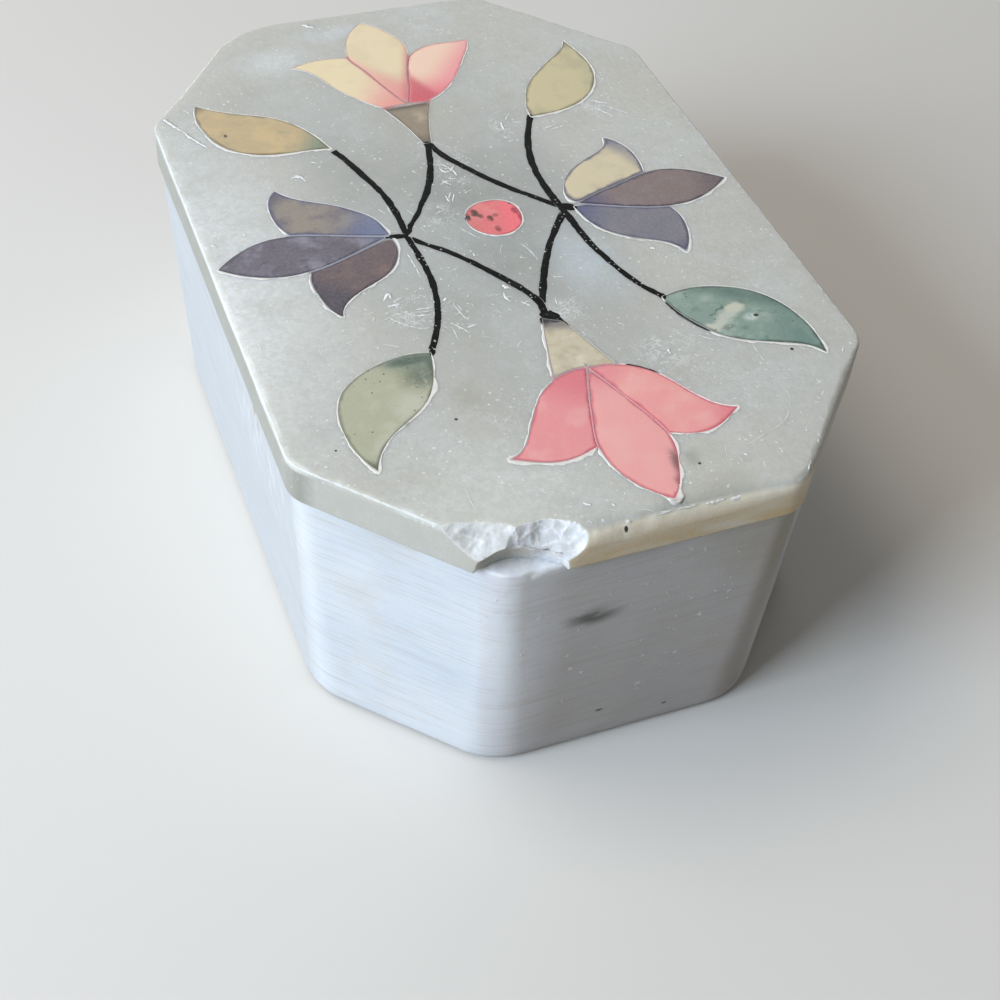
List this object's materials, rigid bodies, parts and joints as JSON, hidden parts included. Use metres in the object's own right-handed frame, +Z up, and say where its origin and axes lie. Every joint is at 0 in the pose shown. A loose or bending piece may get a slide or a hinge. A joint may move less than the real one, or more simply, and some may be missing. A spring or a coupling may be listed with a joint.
{
  "type": "trinket box",
  "caption": "Octagonal marble trinket box, hollow, with a loose lift-off lid inlaid with a pattern of flowers, leaves and stems in coloured stone.",
  "frame": {"origin": "centre of the underside, on the surface that the box stands on", "axes": "+X across the lid, +Y along it away from the chipped end, +Z up through the lid"},
  "size_m": [0.066, 0.099, 0.039],
  "materials": {
    "body_marble": "sanded, faintly translucent, fine saw marks",
    "lid_marble": "polished and worn, cloudy and faintly translucent",
    "white_cement": "matt, slightly ragged",
    "black_stone": "polished, with small white specks",
    "coral_stone": "polished, with dark stains",
    "taupe_stone": "polished, darker at the stem",
    "pink_stone": "polished, darker along the rim",
    "peach_stone": "polished, pink towards the calyx",
    "cream_stone": "polished, grey-blue along the rim",
    "violet_stone": "polished, clouded brown and blue-grey",
    "olive_stone": "polished, greener at the stem",
    "grey_green_stone": "polished, finely speckled",
    "teal_stone": "polished, with a cream patch and dark specks"
  },
  "bodies": {
    "box": {"box_body": "body_marble"},
    "lid": {"back_flower_calyx": "taupe_stone", "back_flower_left_petal": "peach_stone", "back_flower_middle_petal": "peach_stone", "back_flower_right_petal": "peach_stone", "back_left_leaf": "olive_stone", "back_right_leaf": "olive_stone", "cement_back_flower": "white_cement", "cement_centre": "white_cement", "cement_front_flower": "white_cement", "cement_leaves": "white_cement", "cement_left_flower": "white_cement", "cement_right_flower": "white_cement", "centre_disc": "coral_stone", "front_flower_calyx": "taupe_stone", "front_flower_left_petal": "pink_stone", "front_flower_middle_petal": "pink_stone", "front_flower_right_petal": "pink_stone", "front_left_leaf": "grey_green_stone", "front_right_leaf": "teal_stone", "left_flower_lower_petal": "violet_stone", "left_flower_middle_petal": "violet_stone", "left_flower_upper_petal": "violet_stone", "lid_slab": "lid_marble", "right_flower_lower_petal": "violet_stone", "right_flower_middle_petal": "violet_stone", "right_flower_upper_petal": "cream_stone", "stem_back_left": "black_stone", "stem_back_right": "black_stone", "stem_front_left": "black_stone", "stem_front_right": "black_stone", "stem_low_left": "black_stone", "stem_low_right": "black_stone", "stem_top_left": "black_stone", "stem_top_right": "black_stone"}
  },
  "joints": [
    {"name": "lid_lift", "type": "slide", "parent": "box", "child": "lid", "axis": [0, 0, 1], "range_m": [0, 0.06]}
  ]
}
